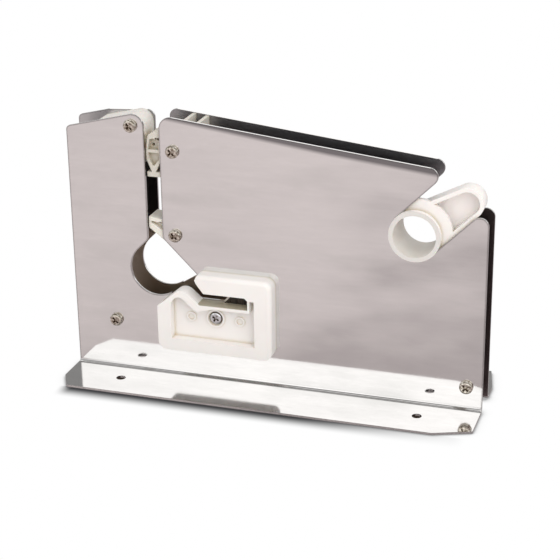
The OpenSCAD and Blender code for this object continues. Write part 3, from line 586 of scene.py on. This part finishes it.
soften(PLATES, EDGE_WIDTH)
soften(OUTER_MOULDINGS, OUTER_EDGE_WIDTH, OUTER_EDGE_STEPS)
soften((*INNER_MOULDINGS, *LOWER_MOULDINGS, *LEFT_MOULDINGS), EDGE_WIDTH)


# ---------------------------------------------------------------- floor, light and camera

# The floor's size, and how far below the base it lies.
FLOOR_SIZE = 8.0
FLOOR_DROP = 0.0002

# The whites of the background and of the studio's light.
WHITE = (1.0, 1.0, 1.0)
WARM_WHITE = (1.0, 0.985, 0.97)

# What the steel sees of the floor at its left and at its right, where along x the one turns to the other,
# and the patches that make the turn uneven. Then what the plastic sees of it.
FLOOR_LEFT = (0.650, 0.592, 0.595)
FLOOR_RIGHT = (0.470, 0.425, 0.430)
FLOOR_TURN = (-0.09, 0.13)
PATCH_SCALE = 11.0
PATCH_DETAIL = 3.0
PATCH_DRIFT = 0.56
FLOOR_FOR_PLASTIC = (0.8, 0.78, 0.77, 1.0)

# The painted shade on the floor under the base, as the camera sees it, from this far inside the base's
# outline on.
SHADE_UNDER_BASE = (0.035, 0.026, 0.02)
UNDER_INSET = 0.012

# The contact shadow: its tone and reach, how far inside the front edge and the ends it begins and is full,
# the place from which it fades rightwards, how far short of the right end that stops, and what is left.
SHADOW_TONE = (0.05, 0.05, 0.053)
SHADOW_REACH = 0.0115
SHADOW_FRONT = (0.0012, 0.0002)
SHADOW_ENDS = (0.001, 0.009)
SHADOW_FADE_FROM = 0.015
SHADOW_FADE_STOP = 0.006
SHADOW_LEAST = 0.1

# The softer shade close to the object: its tone, its reach, and how open a place is where it is full and
# where it ends.
CLOSE_TONE = (0.40, 0.40, 0.40)
CLOSE_REACH = 0.006
CLOSE_OPEN = (0.5, 1.0)

# The studio as the steel sees it, as places and their brightness from the front horizon (0) over the top
# (0.5) to the back horizon (1), and at its sides, with how far out along x the one turns to the other.
STUDIO = ((0.0, 0.40), (0.03, 1.47), (0.19, 1.47), (0.25, 0.36), (0.42, 0.36), (0.48, 1.20), (0.66, 1.20),
          (0.74, 0.27), (0.865, 0.27), (0.885, 1.25), (0.93, 1.25), (1.0, 0.30))
STUDIO_SIDE = (0.62, 0.62, 0.62)
STUDIO_TURN = (0.6, 0.95)
AMBIENT = 0.85

# The lamps: place, the point they look at, size, watts and tint.
LAMPS = {"overhead": ((0.40, -0.70, 1.05), (0.0, 0.0, 0.06), 1.1, 5.0, (1.0, 0.98, 0.96)),
         "right_fill": ((1.0, -0.9, 0.6), (0.0, 0.0, 0.07), 0.9, 4.0, WHITE)}


def shadow_strength(t, x, y):
    """The contact shadow lies in front of the front flange and fades forwards and to the right."""
    ahead = t.math("MAXIMUM", t.math("SUBTRACT", cad_low[Y], y), 0.0)
    fall = t.ranged(ahead, 0.0, SHADOW_REACH, 1.0, 0.0)
    in_front = t.ranged(y, *[cad_low[Y] + inset for inset in SHADOW_FRONT])
    off_ends = t.ranged(t.math("ABSOLUTE", x), *[cad_high[X] - inset for inset in SHADOW_ENDS])
    rightwards = t.ranged(x, SHADOW_FADE_FROM, cad_high[X] - SHADOW_FADE_STOP, 1.0, SHADOW_LEAST)
    return t.times(fall, in_front, off_ends, rightwards)


def floor_to_camera(t, x, y):
    """White, with the contact shadow, a softer shade close to the object, and painted shade under its base.
    """
    openness = t.add("ShaderNodeAmbientOcclusion", (("Distance", CLOSE_REACH),), samples=16).outputs["AO"]
    tone = t.mixed(t.ranged(openness, *CLOSE_OPEN), CLOSE_TONE, WHITE)
    tone = t.mixed(shadow_strength(t, x, y), tone, SHADOW_TONE)
    under = t.times(t.math("LESS_THAN", t.math("ABSOLUTE", x), cad_high[X] - UNDER_INSET),
                    t.math("LESS_THAN", t.math("ABSOLUTE", y), cad_high[Y] - UNDER_INSET))
    # Painted shade on the floor under the base.
    tone = t.mixed(under, tone, SHADE_UNDER_BASE)
    return t.add("ShaderNodeEmission", (("Color", tone), ("Strength", 1.0))).outputs[0]


def floor_to_steel(t, place, x):
    """A soft, uneven tone that changes from left to right."""
    inputs = (("Vector", place), ("Scale", PATCH_SCALE), ("Detail", PATCH_DETAIL))
    patches = t.add("ShaderNodeTexNoise", inputs).outputs["Fac"]
    across = t.math("ADD", x, t.math("MULTIPLY_ADD", patches, PATCH_DRIFT, -PATCH_DRIFT / 2))
    tone = t.mixed(t.ranged(across, *FLOOR_TURN), FLOOR_LEFT, FLOOR_RIGHT)
    return t.add("ShaderNodeBsdfDiffuse", (("Color", tone),)).outputs[0]


def floor():
    """White with shadows to the camera, an uneven soft tone to the steel and a pale one to the plastic."""
    bpy.ops.mesh.primitive_plane_add(size=FLOOR_SIZE, location=(0.0, 0.0, -FLOOR_DROP))
    plane = bpy.context.object
    plane.name = "floor"
    material = bpy.data.materials.new("floor")
    t = bare_tree(material)
    place = t.add("ShaderNodeTexCoord").outputs["Object"]
    x, y = t.split(place)[:2]
    to_plastic = t.add("ShaderNodeBsdfDiffuse", (("Color", FLOOR_FOR_PLASTIC),)).outputs[0]
    surface = t.by_ray(to_plastic, floor_to_steel(t, place, x), floor_to_camera(t, x, y))
    t.add("ShaderNodeOutputMaterial", (("Surface", surface),))
    plane.data.materials.append(material)


def studio_bands(t, angle):
    """The bands of light and dark that the steel sees along an angle from 0 to 1."""
    # A new ramp has two stops already.
    ramp = t.add("ShaderNodeValToRGB", ((0, angle),))
    stops = ramp.color_ramp.elements
    for index, (at, tone) in enumerate(STUDIO):
        stop = stops[index] if index < 2 else stops.new(at)
        stop.position = at
        stop.color = (*[tone * part for part in WARM_WHITE], 1.0)
    return ramp.outputs[0]


def world():
    """White to the camera, even soft light on the mouldings, and bands of light and dark for the steel."""
    sky = bpy.data.worlds.new("studio")
    bpy.context.scene.world = sky
    t = bare_tree(sky)
    x, y, z = t.split(t.add("ShaderNodeTexCoord").outputs["Generated"])
    angle = t.math("DIVIDE", t.math("ARCTAN2", z, t.math("MULTIPLY", y, -1.0)), math.pi)
    aside = t.ranged(t.math("ABSOLUTE", x), *STUDIO_TURN)
    tones = t.mixed(aside, studio_bands(t, angle), STUDIO_SIDE)
    to_steel = t.add("ShaderNodeBackground", (("Color", tones),)).outputs[0]
    even = (("Color", (*WARM_WHITE, 1.0)), ("Strength", AMBIENT))
    to_plastic = t.add("ShaderNodeBackground", even).outputs[0]
    to_camera = t.add("ShaderNodeBackground", (("Color", (*WHITE, 1.0)),)).outputs[0]
    t.add("ShaderNodeOutputWorld", (("Surface", t.by_ray(to_plastic, to_steel, to_camera)),))


def lamp(name, at, towards, size, watts, tint):
    """A round soft lamp that neither the camera nor the steel sees."""
    data = bpy.data.lights.new(name, "AREA")
    data.shape = "DISK"
    data.size = size
    data.energy = watts
    data.color = tint
    obj = bpy.data.objects.new(name, data)
    bpy.context.collection.objects.link(obj)
    obj.location = at
    obj.rotation_euler = (Vector(towards) - Vector(at)).to_track_quat("-Z", "Y").to_euler()
    obj.visible_camera = False
    obj.visible_glossy = False


def camera():
    """The photograph's camera, from its place and its turn, tilt and roll."""
    data = bpy.data.cameras.new("camera")
    data.lens = LENS_MM
    data.sensor_width = SENSOR_MM
    data.clip_start, data.clip_end = CAMERA_CLIP
    obj = bpy.data.objects.new("camera", data)
    bpy.context.collection.objects.link(obj)
    ahead = Vector((-math.sin(CAMERA_TURN) * math.cos(CAMERA_TILT),
                    math.cos(CAMERA_TURN) * math.cos(CAMERA_TILT), -math.sin(CAMERA_TILT)))
    right = Vector((math.cos(CAMERA_TURN), math.sin(CAMERA_TURN), 0.0))
    up = right.cross(ahead)
    cosine, sine = math.cos(CAMERA_ROLL), math.sin(CAMERA_ROLL)
    right, up = right * cosine + up * sine, up * cosine - right * sine
    turn = Matrix((right, up, -ahead)).transposed()
    obj.matrix_world = Matrix.Translation(CAMERA_AT) @ turn.to_4x4()
    bpy.context.scene.camera = obj


floor()
world()
for lamp_name, lamp_settings in LAMPS.items():
    lamp(lamp_name, *lamp_settings)
camera()

scene = bpy.context.scene
scene.view_settings.view_transform = "Standard"
